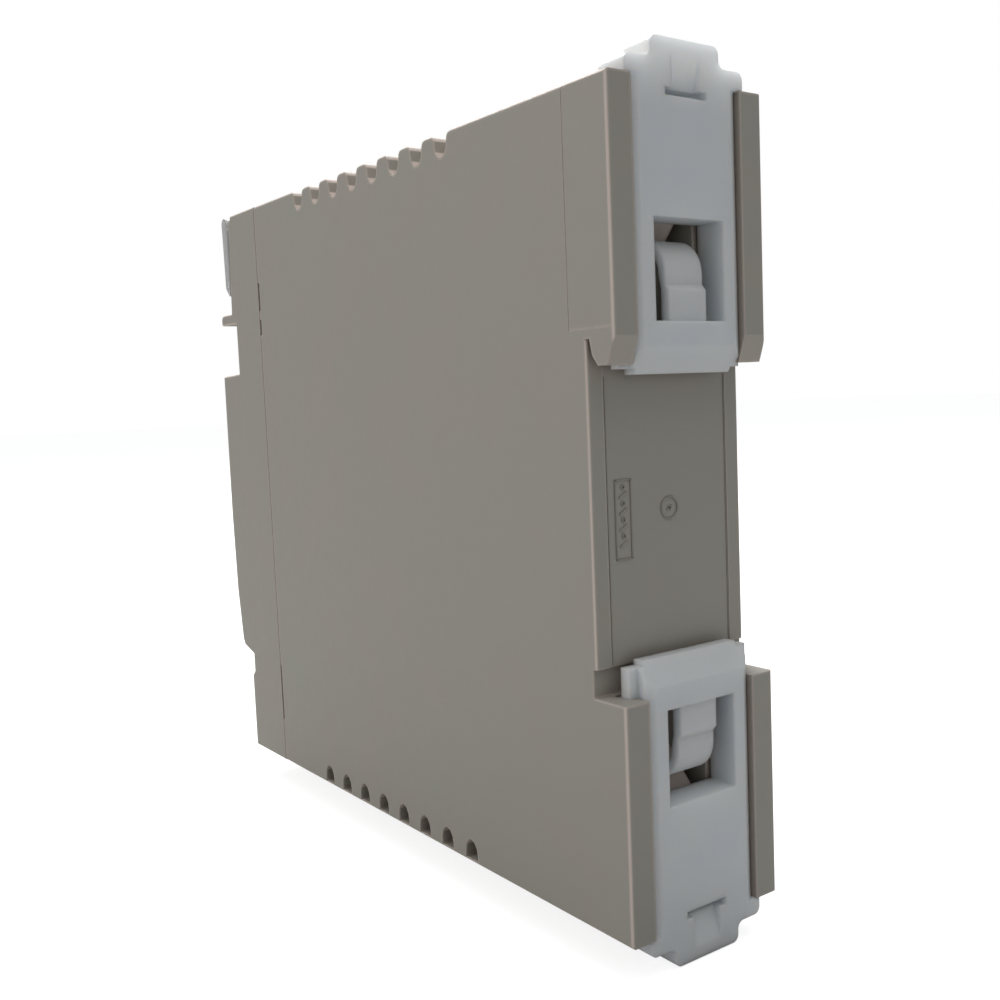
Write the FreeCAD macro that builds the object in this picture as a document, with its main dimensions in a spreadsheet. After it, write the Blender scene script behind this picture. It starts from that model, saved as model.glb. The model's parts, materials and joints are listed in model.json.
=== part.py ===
"""Slim mounting-rail control module with two sliding rail hooks.

Millimetres. The model is drawn from the case's own datum: X across the case from its middle,
depth measured forward (-Y) from the rear face, Z up from the case bottom. Every sub-part is then
placed so that the origin is the centre of the seat for a 35 mm mounting rail, with -Y the front.
"""
import FreeCAD, Part
import Sketcher
import math
import os

Vector = FreeCAD.Vector

DIMENSIONS = {
    "case_width": 22.5,
    "case_height": 90.0,
    "case_depth": 84.5,
    "wall": 1.7,
    "rear_wall": 6.0,
    "seat_depth": 4.35,
    "seat_height": 46.4,
    "recess_low": 26.05,
    "recess_high": 63.9,
    "channel_half": 7.85,
    "groove_half": 9.05,
    "lip_depth": 1.8,
    "groove_depth": 4.42,
    "vent_first": 29.9,
    "vent_pitch": 5.53,
    "vent_width": 2.7,
    "vent_reach": 3.0,
    "vent_cut": 6.0,
    "edge_round": 0.5,
    "hook_face": 0.2,
    "hook_inner": 4.1,
    "hook_half": 7.7,
    "hook_tip": 60.1,
    "hook_end": 94.15,
    "hook_step": 2.2,
    "hook_round": 0.85,
    "window_half": 5.1,
    "window_low": 65.5,
    "window_high": 76.15,
    "tongue_half": 2.7,
    "tongue_thick": 1.1,
    "cover_start": 84.7,
    "cheek_upper": 96.0,
    "cheek_lower": 96.4,
    "nose_depth": 101.0,
    "panel_depth": 100.3,
    "panel_low": 24.0,
    "panel_high": 62.4,
    "cell_floor": 88.6,
    "cell_pitch": 6.75,
    "cell_half": 3.05,
    "knob_radius": 3.0,
    "board_thick": 1.6,
}
KNOB_HEIGHTS = {"upper": 51.5, "middle": 40.5, "lower": 29.5}
LAMPS = {"power_lamp": -6.0, "relay_lamp": 0.0, "alarm_lamp": 6.0}
LAMP_HEIGHT = 59.6
TERMINAL_ROWS = {"upper": 81.0, "middle": 68.0, "lower": 6.2}
TERMINAL_SETS = tuple(
    f"{row}_{kind}"
    for row in TERMINAL_ROWS
    for kind in ("terminal_screws", "clamp_washers", "contact_strips")
)
LEVER_COUNT = 4
LEVER_PITCH = 1.95
SELECTOR_DEPTH = 76.0
VENT_COUNT = 8

DOC = FreeCAD.newDocument("rail_module")
SUBPARTS = []


class Size:
    """A length that knows its value and the formula that ties it to the dimension sheet."""

    def __init__(self, formula, value):
        self.formula = formula
        self.value = float(value)

    def __add__(self, other):
        other = as_size(other)
        return Size(f"({self.formula} + {other.formula})", self.value + other.value)

    def __sub__(self, other):
        other = as_size(other)
        return Size(f"({self.formula} - {other.formula})", self.value - other.value)

    def __rsub__(self, other):
        return as_size(other) - self

    def __mul__(self, factor):
        return Size(f"({self.formula} * {factor})", self.value * factor)

    def __neg__(self):
        return self * -1

    __radd__ = __add__
    __rmul__ = __mul__


def as_size(number):
    if isinstance(number, Size):
        return number
    return Size(f"({float(number)!r})", number)


def make_sheet():
    """Fills the spreadsheet and returns its cells as Size values."""
    sheet = DOC.addObject("Spreadsheet::Sheet", "Dims")
    cells = {}
    for row, (alias, value) in enumerate(DIMENSIONS.items(), start=1):
        sheet.set(f"A{row}", str(value))
        sheet.setAlias(f"A{row}", alias)
        cells[alias] = Size(f"Dims.{alias}", value)
    DOC.recompute()
    return cells


D = make_sheet()
HALF_WIDTH = D["case_width"] * 0.5
INNER_HALF = HALF_WIDTH - D["wall"]
MID_HEIGHT = D["case_height"] * 0.5


def bind(thing, path, size):
    """Sets a property from a Size and keeps it tied to the sheet."""
    thing.setExpression(path, as_size(size).formula)


def to_row_frame(thing):
    """Moves a sub-part from the case datum to the rail-seat origin."""
    seat = Vector(0, DIMENSIONS["seat_depth"], -DIMENSIONS["seat_height"])
    thing.Placement = FreeCAD.Placement(seat, FreeCAD.Rotation())
    thing.setExpression("Placement.Base.y", "Dims.seat_depth")
    thing.setExpression("Placement.Base.z", "-Dims.seat_height")


def keep(thing, label):
    """Registers a finished sub-part under the name of its node."""
    thing.Label = label
    SUBPARTS.append(thing)
    return thing


# ---------------------------------------------------------------- PartDesign helpers
PLANES = {"top": "XY_Plane", "front": "XZ_Plane", "side": "YZ_Plane"}


def new_body(label):
    return keep(DOC.addObject("PartDesign::Body", label), label)


def new_sketch(body, view, offset):
    """A sketch on a plane of the body: top (X, -depth), front (X, Z) or side (-depth, Z)."""
    sketch = body.newObject("Sketcher::SketchObject", f"{body.Label}_sketch")
    plane = [f for f in body.Origin.OriginFeatures if f.Role == PLANES[view]][0]
    sketch.AttachmentSupport = [(plane, "")]
    sketch.MapMode = "FlatFace"
    offset = as_size(offset)
    sketch.AttachmentOffset = FreeCAD.Placement(Vector(0, 0, offset.value), FreeCAD.Rotation())
    bind(sketch, "AttachmentOffset.Base.z", offset)
    return sketch


def pin_point(constraints, formulas, index, position, point):
    """Lists the constraints that fix a vertex at a point, and the formulas behind them."""
    for axis, coordinate in zip(("DistanceX", "DistanceY"), point):
        coordinate = as_size(coordinate)
        if "Dims" in coordinate.formula:
            formulas[len(constraints)] = coordinate.formula
        constraints.append(Sketcher.Constraint(axis, -1, 1, index, position, coordinate.value))


def flat_point(point):
    return Vector(as_size(point[0]).value, as_size(point[1]).value, 0)


def draw(sketch, outlines):
    """Draws closed polygons and circles, fixed in place and tied to the sheet."""
    geometry, constraints, formulas = [], [], {}
    for outline in outlines:
        first = len(geometry)
        if isinstance(outline, dict):
            radius = as_size(outline["radius"])
            centre = outline["centre"]
            geometry.append(Part.Circle(flat_point(centre), Vector(0, 0, 1), radius.value))
            pin_point(constraints, formulas, first, 3, centre)
            formulas[len(constraints)] = radius.formula
            constraints.append(Sketcher.Constraint("Radius", first, radius.value))
            continue
        corners = [flat_point(point) for point in outline]
        count = len(corners)
        for i in range(count):
            geometry.append(Part.LineSegment(corners[i], corners[(i + 1) % count]))
        for i in range(count):
            after = first + (i + 1) % count
            constraints.append(Sketcher.Constraint("Coincident", first + i, 2, after, 1))
        for i, point in enumerate(outline):
            pin_point(constraints, formulas, first + i, 1, point)
    sketch.addGeometry(geometry)
    sketch.addConstraint(constraints)
    for number, formula in formulas.items():
        sketch.setExpression(f"Constraints[{number}]", formula)


def rectangle(u_low, v_low, u_high, v_high):
    return [(u_low, v_low), (u_high, v_low), (u_high, v_high), (u_low, v_high)]


def extrude(kind, body, view, outlines, start, length, symmetric=False):
    """Pads or pockets outlines along the plane's normal, from start over length."""
    sketch = new_sketch(body, view, start)
    draw(sketch, outlines)
    DOC.recompute()
    before = body.Shape.Volume if body.Tip else 0.0
    feature = body.newObject(f"PartDesign::{kind}", f"{body.Label}_{kind.lower()}")
    feature.Profile = sketch
    length = as_size(length)
    feature.Length = length.value
    bind(feature, "Length", length)
    if symmetric:
        feature.SideType = "Symmetric"
    elif kind == "Pocket":
        feature.Reversed = True
    DOC.recompute()
    if "Invalid" in feature.State or feature.Shape.isNull():
        raise ValueError(f"{feature.Name} failed: {feature.getStatusString()}")
    change = feature.Shape.Volume - before
    if (kind == "Pad") != (change > 0) or abs(change) < 1e-6:
        raise ValueError(f"{body.Label}: {feature.Name} changed the volume by {change:.4f}")
    return feature


def pad(body, view, outlines, start, length, symmetric=False):
    return extrude("Pad", body, view, outlines, start, length, symmetric)


def pocket(body, view, outlines, start, length, symmetric=False):
    return extrude("Pocket", body, view, outlines, start, length, symmetric)


def round_edges(body, radius, wanted):
    """Rounds the edges of the body's last feature that wanted(edge) accepts."""
    base = body.Tip
    names = [f"Edge{i}" for i, edge in enumerate(base.Shape.Edges, 1) if wanted(edge)]
    if not names:
        raise ValueError(f"{body.Label}: no edge to round")
    feature = body.newObject("PartDesign::Fillet", f"{body.Label}_fillet")
    feature.Base = (base, names)
    feature.Radius = as_size(radius).value
    bind(feature, "Radius", radius)
    DOC.recompute()
    if "Invalid" in feature.State or not feature.Shape.isValid():
        raise ValueError(f"{feature.Name} failed: {feature.getStatusString()}")
    return feature


def repeat_forward(body, features, count, pitch):
    """Repeats features towards the front, evenly spaced."""
    before = body.Shape.Volume
    pattern = body.newObject("PartDesign::LinearPattern", f"{body.Label}_row")
    pattern.Originals = features
    depth_axis = [f for f in body.Origin.OriginFeatures if f.Role == "Y_Axis"][0]
    pattern.Direction = (depth_axis, [""])
    pattern.Reversed = True
    length = pitch * (count - 1)
    pattern.Length = length.value
    bind(pattern, "Length", length)
    pattern.Occurrences = count
    body.Tip = pattern
    DOC.recompute()
    if "Invalid" in pattern.State or not body.Shape.Volume < before:
        raise ValueError(f"{pattern.Name} failed: {pattern.getStatusString()}")


def straight_along(edge, axis):
    """True for a straight edge parallel to axis 0, 1 or 2."""
    if edge.Curve.TypeId != "Part::GeomLine":
        return False
    direction = edge.tangentAt(edge.FirstParameter)
    return abs(abs(direction[axis]) - 1) < 1e-6


def all_at(edge, axis, value, gap=0.02):
    box = edge.BoundBox
    low = (box.XMin, box.YMin, box.ZMin)[axis]
    high = (box.XMax, box.YMax, box.ZMax)[axis]
    return abs(low - value) < gap and abs(high - value) < gap


# ---------------------------------------------------------------- Part helpers
def block(name, x_span, depth_span, z_span):
    """A Part::Box from three (low, high) spans; depth counts forward from the rear face."""
    box = DOC.addObject("Part::Box", name)
    lows = (as_size(x_span[0]), -as_size(depth_span[1]), as_size(z_span[0]))
    spans = (x_span, depth_span, z_span)
    for prop, span in zip(("Length", "Width", "Height"), spans):
        size = as_size(span[1]) - as_size(span[0])
        setattr(box, prop, size.value)
        bind(box, prop, size)
    box.Placement.Base = Vector(*(low.value for low in lows))
    for letter, low in zip("xyz", lows):
        bind(box, f"Placement.Base.{letter}", low)
    return box


ROTATIONS = {
    "z": FreeCAD.Rotation(),
    "depth": FreeCAD.Rotation(Vector(1, 0, 0), 90),
    "x": FreeCAD.Rotation(Vector(0, 1, 0), 90),
}


def rod(name, axis, start, length, radius):
    """A Part::Cylinder from a start point (x, depth, z) along x, z or forward depth."""
    cylinder = DOC.addObject("Part::Cylinder", name)
    length, radius = as_size(length), as_size(radius)
    cylinder.Height, cylinder.Radius = length.value, radius.value
    bind(cylinder, "Height", length)
    bind(cylinder, "Radius", radius)
    base = (as_size(start[0]), -as_size(start[1]), as_size(start[2]))
    at = Vector(*(part.value for part in base))
    cylinder.Placement = FreeCAD.Placement(at, ROTATIONS[axis])
    for letter, part in zip("xyz", base):
        bind(cylinder, f"Placement.Base.{letter}", part)
    return cylinder


def fuse(name, pieces):
    joined = DOC.addObject("Part::MultiFuse", name)
    joined.Shapes = pieces
    return joined


def cut(name, base, tools):
    """base less tools; several tools are joined first."""
    result = DOC.addObject("Part::Cut", name)
    result.Base = base
    result.Tool = tools[0] if len(tools) == 1 else fuse(f"{name}_tools", tools)
    return result


def soften(name, base, radius, wanted=lambda edge: True):
    """A Part::Fillet of the straight edges that wanted accepts."""
    DOC.recompute()
    rounded = DOC.addObject("Part::Fillet", name)
    rounded.Base = base
    chosen = [
        (i, radius, radius)
        for i, edge in enumerate(base.Shape.Edges, 1)
        if edge.Curve.TypeId == "Part::GeomLine" and wanted(edge)
    ]
    rounded.Edges = chosen
    return rounded


def finish_part(label, *pieces):
    """Places a Part object, or several separate solids, in the row frame as one sub-part."""
    thing = pieces[0]
    if len(pieces) > 1 or thing.TypeId in ("Part::Box", "Part::Cylinder"):
        thing = DOC.addObject("Part::Compound", f"{label}_group")
        thing.Links = list(pieces)
    to_row_frame(thing)
    return keep(thing, label)


# ---------------------------------------------------------------- housing
def side_outline(*points):
    """Points given as (depth, height), for a sketch on the side plane."""
    return [(-as_size(depth), height) for depth, height in points]


def make_main_case():
    """The box that holds the electronics, open at the front, with the rail recess at the rear."""
    body = new_body("main_case")
    pad(body, "front", [rectangle(-HALF_WIDTH, 0, HALF_WIDTH, D["case_height"])], 0, D["case_depth"])
    round_edges(body, D["edge_round"], is_outer_long_edge)
    inside = rectangle(-INNER_HALF, D["wall"], INNER_HALF, D["case_height"] - D["wall"])
    pocket(body, "front", [inside], D["rear_wall"], D["case_depth"])
    cut_rail_recess(body)
    round_recess_edges(body)
    cut_hook_channel(body)
    for end in (1, -1):
        cut_hook_pocket(body, end)
    cut_vents(body)
    cut_shallow_steps(body)
    to_row_frame(body)


def cut_rail_recess(body):
    """Removes the space for the rail; the upper ears keep a slot for the rail's top edge."""
    low, high, seat = D["recess_low"], D["recess_high"], D["seat_depth"]
    recess = side_outline(
        (-1.0, low),
        (4.9, low),
        (4.9, low + 3.1),
        (seat, low + 3.1),
        (seat, high),
        (seat - 0.6, high),
        (seat - 1.0, high - 1.7),
        (seat - 1.85, high - 2.8),
        (1.0, high - 2.8),
        (0, high + 0.1),
        (-1.0, high + 0.1),
    )
    pocket(body, "side", [recess], 0, D["case_width"] + 2, symmetric=True)


def cut_hook_channel(body):
    """The channel between the two rails, with a guide groove under each rail's lip."""
    half, groove = D["channel_half"], D["groove_half"]
    tall = D["case_height"] + 1
    pocket(body, "front", [rectangle(-half, -1, half, tall)], -1, D["seat_depth"] + 1)
    depth = D["groove_depth"] - D["lip_depth"]
    pocket(body, "front", [rectangle(-groove, -1, groove, tall)], D["lip_depth"], depth)


def is_outer_long_edge(edge):
    """The case's edges along its depth and the upright edges of its rear face."""
    at_rear = all_at(edge, 1, 0)
    return straight_along(edge, 1) or (at_rear and straight_along(edge, 2))


def round_recess_edges(body):
    """Rounds the upright outer edges of the recess floor."""

    def long_upright(edge):
        at_seat = all_at(edge, 1, -DIMENSIONS["seat_depth"])
        return straight_along(edge, 2) and at_seat and edge.Length > 20

    round_edges(body, 0.4, long_upright)


def cut_hook_pocket(body, end):
    """A closed pocket behind a hook's window, where the hook's spring tongue runs."""

    def height(value):
        return MID_HEIGHT + (as_size(value) - MID_HEIGHT) * end

    def slab(half, low, high):
        edges = sorted((height(low), height(high)), key=lambda size: size.value)
        return rectangle(-as_size(half), edges[0], half, edges[1])

    pad(body, "front", [slab(5.9, 62.8, 82.0)], 5.5, 4.9)
    pocket(body, "front", [slab(4.7, 64.0, 80.8)], 4.3, 4.9)
    ramp = [(9.3, 72.5), (5.4, 77.0), (5.4, 80.9), (9.3, 80.9)]
    outline = side_outline(*((depth, height(value)) for depth, value in ramp))
    pad(body, "side", [outline], 0, 6.6, symmetric=True)


def quarter(centre, radii, start, steps=4):
    """Points of a quarter of an ellipse, from a start angle in quarter turns."""
    points = []
    for step in range(steps + 1):
        angle = math.pi / 2 * (start + step / steps)
        along, up = radii[0] * math.cos(angle), radii[1] * math.sin(angle)
        points.append((centre[0] + along, centre[1] + up))
    return points


def vent_outline(centre, tip, mouth):
    """A slot seen from the side: round at its tip and open at its mouth."""
    half = D["vent_width"] * 0.5
    way = 1 if mouth > tip.value else -1
    arc = []
    for step in range(7):
        angle = math.pi * step / 6
        along = half * (-math.cos(angle))
        up = half * (1 - math.sin(angle)) * 1.35 * way
        arc.append((centre + along, tip + up))
    mouth_points = [(centre + half, mouth), (centre - half, mouth)]
    return side_outline(*arc, *mouth_points)


def flared_vent_outline(centre, tip):
    """A slot whose mouth on the top edge has rounded shoulders on both sides."""
    slot = vent_outline(centre, tip, DIMENSIONS["case_height"] - 1.2)[:-2]
    half, top = D["vent_width"] * 0.5, D["case_height"]
    radii = (1.25, 1.15)
    rear = quarter((-(centre - half - radii[0]), top - radii[1]), radii, 1)
    front = quarter((-(centre + half + radii[0]), top - radii[1]), radii, 0)
    above = [(front[-1][0], top + 1), (rear[0][0], top + 1)]
    return slot + front + above + rear


def cut_vents(body):
    """Two rows of slots through the top and bottom edges, the same on both sides."""
    top_tip = D["case_height"] - D["vent_reach"]
    bottom_tip = D["vent_reach"]
    centre = D["vent_first"]
    outlines = [flared_vent_outline(centre, top_tip), vent_outline(centre, bottom_tip, 0.4)]
    deep = D["vent_cut"]
    near = pocket(body, "side", outlines, HALF_WIDTH - deep, deep + 1)
    far = pocket(body, "side", outlines, -HALF_WIDTH - 1, deep + 1)
    repeat_forward(body, [near, far], VENT_COUNT, D["vent_pitch"])


def cut_shallow_steps(body):
    """Shallow steps: rear upper corners, label bed, latch gaps and the selector opening."""
    corner_step, bed_step, tool = 0.05, 0.15, 1.0
    corner = rectangle(-7.0, 65.0, 1, D["case_height"] + 1)
    pocket(body, "side", [corner], HALF_WIDTH - corner_step, tool)
    pocket(body, "side", [corner], -HALF_WIDTH - (tool - corner_step), tool)
    label_bed = rectangle(-78.0, 22.0, -18.0, 70.0)
    pocket(body, "side", [label_bed], -HALF_WIDTH - (tool - bed_step), tool)
    gaps = [rectangle(-85.0, 73.6, -84.05, 78.0), rectangle(-85.0, 69.8, -84.05, 72.2)]
    gaps.append(rectangle(-85.0, 7.0, -84.2, 16.0))
    pocket(body, "side", gaps, 0, D["case_width"] + 2, symmetric=True)
    pocket(body, "front", [rectangle(-7.0, -1, -0.8, D["wall"] + 0.1)], 71.4, 9.0)


def cover_outline():
    """The front cover's side view: terminal steps above and below a full-width nose."""
    nose = D["nose_depth"]
    start = D["cover_start"]
    return side_outline(
        (start, 0),
        (D["cheek_lower"], 0),
        (D["cheek_lower"], 12.4),
        (D["cheek_lower"] - 0.9, 13.2),
        (D["cheek_lower"] - 0.9, 16.1),
        (nose - 1.9, 17.2),
        (nose - 1.3, 18.2),
        (nose - 0.2, 27.0),
        (nose + 0.2, 40.0),
        (nose, 63.8),
        (94.3, 64.0),
        (94.3, 72.3),
        (100.4, 72.4),
        *quarter((99.6, 73.3), (0.8, 0.8), 0),
        (D["cheek_upper"], 74.1),
        (D["cheek_upper"] - 0.8, 88.9),
        (D["cheek_upper"] - 1.8, D["case_height"]),
        (start, D["case_height"]),
    )


def cell_centres():
    return [D["cell_pitch"] * step for step in (-1, 0, 1)]


def make_front_cover():
    """The moulded front with terminal cells, the control nose and a skirt inside the case."""
    body = new_body("front_cover")
    pad(body, "side", [cover_outline()], 0, D["case_width"], symmetric=True)
    half = HALF_WIDTH.value

    def outer_rim(edge):
        on_side = all_at(edge, 0, half) or all_at(edge, 0, -half)
        return on_side and not all_at(edge, 1, -DIMENSIONS["cover_start"])

    round_edges(body, 0.35, outer_rim)
    hollow_cover(body)
    cut_cells(body)
    cut_nose(body)
    add_skirt(body)
    add_hinge_ears(body)
    to_row_frame(body)


def hollow_cover(body):
    """Hollows the cover from behind, with cell floors left standing."""
    start = D["cover_start"] - 1
    floor = D["cell_floor"] - 1.5
    high = D["case_height"] - D["wall"]
    step = 0.7
    half = INNER_HALF - step
    shallow = rectangle(-half, D["wall"] + step, half, high - step)
    pocket(body, "front", [shallow], start, floor - start)
    pocket(body, "front", [rectangle(-INNER_HALF, 19.0, INNER_HALF, 62.3)], start, 98.8 - start)


def cut_cells(body):
    """Nine terminal cells with wire slots, and bolt holes through the cell floors."""
    half, floor = D["cell_half"], D["cell_floor"]
    cells, holes, entries = [], [], []
    for row, height in TERMINAL_ROWS.items():
        for centre in cell_centres():
            cells.append(rectangle(centre - half, height - 3.6, centre + half, height + 3.6))
            holes.append({"centre": (centre, height), "radius": 1.65})
    for centre in cell_centres():
        entries.append(rectangle(centre - 1.7, 84.0, centre + 1.7, D["case_height"] + 1))
        entries.append(rectangle(centre - 1.7, -1, centre + 1.7, 3.0))
    pocket(body, "front", cells, floor, 15)
    pocket(body, "front", holes, floor - 3, 4)
    pocket(body, "front", entries, floor + 1.3, 2.6)
    bed = rectangle(-10.05, -1, 10.05, 12.6)
    pocket(body, "front", [bed], D["cheek_lower"] - 1.4, 3)


def cut_nose(body):
    """The sunk control panel with holes for the dials and lamps."""
    panel = D["panel_depth"]
    pocket(body, "front", [rectangle(-10.3, D["panel_low"], 10.3, D["panel_high"])], panel, 3)
    holes = [{"centre": (0, z), "radius": D["knob_radius"] + 0.2} for z in KNOB_HEIGHTS.values()]
    for centre in LAMPS.values():
        holes.append({"centre": (centre, LAMP_HEIGHT), "radius": 1.5})
    pocket(body, "front", holes, 98.0, 4)


def add_skirt(body):
    """A thin collar that slips inside the case mouth and closes the seam."""
    outer, inner = INNER_HALF - 0.15, INNER_HALF - 1.05
    low, high = D["wall"] + 0.15, D["case_height"] - D["wall"] - 0.15
    start = D["cover_start"] - 4.0
    pad(body, "front", [rectangle(-outer, low, outer, high)], start, 4.2)
    hole = rectangle(-inner, low + 0.9, inner, high - 0.9)
    pocket(body, "front", [hole], start - 1, 6.9)


def ear_outline(axis_depth, axis_height, foot_depth):
    """A hinge ear seen from the side: half round about its axis, with a foot on the cover."""
    radius = 1.0
    rim = []
    for step in range(9):
        angle = math.pi * (step / 8 - 0.5)
        rim.append((axis_depth + radius * math.cos(angle), axis_height + radius * math.sin(angle)))
    foot = [(foot_depth, axis_height + radius), (foot_depth, axis_height - radius)]
    return side_outline(*rim, *foot)


UPPER_AXIS = (97.2, 89.0)
LOWER_AXIS = (96.1, 1.25)


def add_hinge_ears(body):
    """Two ears for each terminal cover, with bores for its stub pins."""
    for axis, foot in ((UPPER_AXIS, 94.0), (LOWER_AXIS, 94.5)):
        outline = ear_outline(*axis, foot)
        bore = {"centre": (-axis[0], axis[1]), "radius": 0.6}
        for side in (1, -1):
            start = 5.0 if side > 0 else -6.2
            pad(body, "side", [outline], start, 1.2)
        pocket(body, "side", [bore], 0, 14, symmetric=True)


def make_terminal_cover(label, axis, far_height, half, front_depth):
    """A clear lid with a rolled hinge edge and a hollow back."""
    body = new_body(label)
    depth, height = axis
    away = 1 if far_height > height else -1
    rear = depth - 0.95
    lip = far_height - 1.4 * away
    plate = [(depth, height - 0.98 * away), (front_depth, height), (front_depth - 0.3, lip)]
    plate += [(rear + 0.3, far_height), (rear, far_height), (rear, height + 0.6 * away)]
    pad(body, "side", [side_outline(*plate)], 0, 2 * half, symmetric=True)
    pad(body, "side", [{"centre": (-depth, height), "radius": 0.98}], 0, 2 * half, symmetric=True)
    low, high = sorted((height + 1.6 * away, far_height - 0.9 * away))
    pocket(body, "front", [rectangle(-half + 0.9, low, half - 0.9, high)], rear - 1, 2.0)
    low, high = sorted((height - 1.5 * away, height + 1.35 * away))
    gaps = [rectangle(4.8, low, 6.4, high), rectangle(-6.4, low, -4.8, high)]
    pocket(body, "front", gaps, rear - 1, 4)
    for start in (4.75, -6.05):
        pad(body, "side", [{"centre": (-depth, height), "radius": 0.55}], start, 1.3)
    to_row_frame(body)


# ---------------------------------------------------------------- rail hooks
def make_hook(label, end):
    """A sliding hook. end is 1 for the upper one and -1 for its mirror image below."""
    body = new_body(label)

    def height(value):
        return MID_HEIGHT + (as_size(value) - MID_HEIGHT) * end

    def profile(*points):
        return side_outline(*((depth, height(value)) for depth, value in points))

    def face(half, low, high):
        return rectangle(-as_size(half), height(low), half, height(high))

    hook_body(body, height, face)
    cut_jaw(body, profile)
    pocket(body, "front", [face(D["window_half"], D["window_low"], D["window_high"])], -1, 6)
    cut_grip_slot(body, profile, face)
    add_tongue(body, profile)
    to_row_frame(body)


def hook_body(body, height, face):
    """The guided plate, the shoulders that stop it on the case end, and the pull end."""
    half, inner, outer = D["hook_half"], D["hook_inner"], D["hook_face"]
    section = [
        (half - 1.1, -outer),
        (half, -(outer + 0.6)),
        (half, -1.95),
        (half + 1.15, -1.95),
        (half + 1.15, -inner),
    ]
    section += [(-u, v) for u, v in reversed(section)]
    tip, shoulder, top = D["hook_tip"], D["case_height"] + 0.1, D["hook_end"]
    start = height(tip)
    if start.value > height(shoulder).value:
        start = height(shoulder)
    pad(body, "top", [section], start, shoulder - tip)
    thick = inner - outer
    step = top - D["hook_step"]
    pad(body, "front", [face(8.5, shoulder - 0.05, step)], outer, thick)
    pad(body, "front", [face(4.9, step - 0.2, top)], outer, thick)

    def end_corner(edge):
        middle = MID_HEIGHT.value
        beyond_case = abs(edge.CenterOfMass.z - middle) > middle + 0.5
        return straight_along(edge, 1) and beyond_case and not all_at(edge, 0, 0)

    round_edges(body, D["hook_round"], end_corner)


def cut_jaw(body, profile):
    """The sloping snap face at the tip and the undercut that grips the rail's edge."""
    pocket(body, "side", [profile((-1, 58.8), (-1, 64.9), (2.0, 59.7), (2.0, 58.8))], 0, 20, True)
    undercut = profile((3.25, 59.0), (3.25, 64.1), (5.0, 64.1), (5.0, 59.0))
    pocket(body, "side", [undercut], 0, 20, True)
    for start in (7.0, -9.0):
        pocket(body, "side", [profile((1, 59.0), (1, 60.7), (5.0, 60.7), (5.0, 59.0))], start, 2)


def cut_grip_slot(body, profile, face):
    """A slot for a screwdriver blade and the sloping thumb pocket beyond it."""
    pocket(body, "front", [face(3.0, 88.4, 89.3)], -1, 6)
    slope = profile((-0.5, 89.2), (-0.5, 92.9), (0.2, 92.7), (1.1, 89.2))
    pocket(body, "side", [slope], 0, 4.0, True)


def add_tongue(body, profile):
    """The springy tongue that grows from the window's jaw side and curls into the case."""
    thick = D["tongue_thick"]
    outer, bend = 0.7, 70.6
    centre, radius = 4.95, 3.75
    curl_out, curl_in = [], []
    for step in range(9):
        angle = math.pi / 2 * step / 8
        reach, rise = math.cos(angle), math.sin(angle)
        curl_out.append((centre - radius * reach, bend + radius * rise))
        inner_radius = radius - thick
        curl_in.append((centre - inner_radius * reach, bend + inner_radius * rise))
    root = [(1.95, 65.3), (outer, 65.3), (outer, 68.8), (outer + 0.5, 69.4)]
    inside = list(reversed(curl_in)) + [(1.95, 69.0)]
    outline = profile(*root, *curl_out, *inside)
    pad(body, "side", [outline], 0, 2 * D["tongue_half"], True)


# ---------------------------------------------------------------- controls
def make_knob(label, height):
    """A screwdriver dial: a flanged cap with a cross slot, turning in the panel."""
    radius = D["knob_radius"]
    flange = rod(f"{label}_flange", "depth", (0, 97.6, height), 1.0, radius + 0.8)
    cap = rod(f"{label}_cap", "depth", (0, 98.5, height), 3.2, radius)
    stem = rod(f"{label}_stem", "depth", (0, 94.6, height), 3.2, 1.2)
    slot = block(f"{label}_slot", (-0.5, 0.5), (100.8, 102.0), (height - 2.2, height + 2.2))
    cross = block(f"{label}_cross", (-1.1, 1.1), (100.8, 102.0), (height - 0.4, height + 0.4))
    solid = fuse(f"{label}_solid", [flange, cap, stem])
    finish_part(label, cut(f"{label}_cut", solid, [slot, cross]))


def make_trimmer(label, height):
    """The rotary trimmer behind a dial, on the front board."""
    case = block(f"{label}_case", (-3.4, 3.4), (92.6, 96.4), (height - 3.6, height + 3.6))
    bore = rod(f"{label}_bore", "depth", (0, 94.4, height), 3.0, 1.26)
    finish_part(label, cut(f"{label}_cut", case, [bore]))


def make_lamp(label, centre):
    """A light pipe with a collar behind the panel."""
    pipe = rod(f"{label}_pipe", "depth", (centre, 92.6, LAMP_HEIGHT), 8.3, 1.4)
    collar = rod(f"{label}_collar", "depth", (centre, 97.6, LAMP_HEIGHT), 1.2, 1.9)
    finish_part(label, fuse(f"{label}_solid", [pipe, collar]))


def make_panel_sheet():
    """The printed sheet on the control panel and the bare label on the far side."""
    front, gap = D["panel_depth"], 0.15
    z_span = (D["panel_low"] + gap, D["panel_high"] - gap)
    sheet = block("sheet_blank", (-10.15, 10.15), (front, front + 0.12), z_span)
    holes = []
    for name, height in KNOB_HEIGHTS.items():
        holes.append(rod(f"sheet_{name}", "depth", (0, 99, height), 3, D["knob_radius"] + 0.35))
    for name, centre in LAMPS.items():
        holes.append(rod(f"sheet_{name}", "depth", (centre, 99, LAMP_HEIGHT), 3, 1.6))
    finish_part("panel_sheet", cut("sheet_cut", sheet, holes))
    outside = -HALF_WIDTH + 0.15
    finish_part("side_label", block("label", (outside - 0.1, outside), (18.4, 77.6), (22.4, 69.6)))


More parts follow.
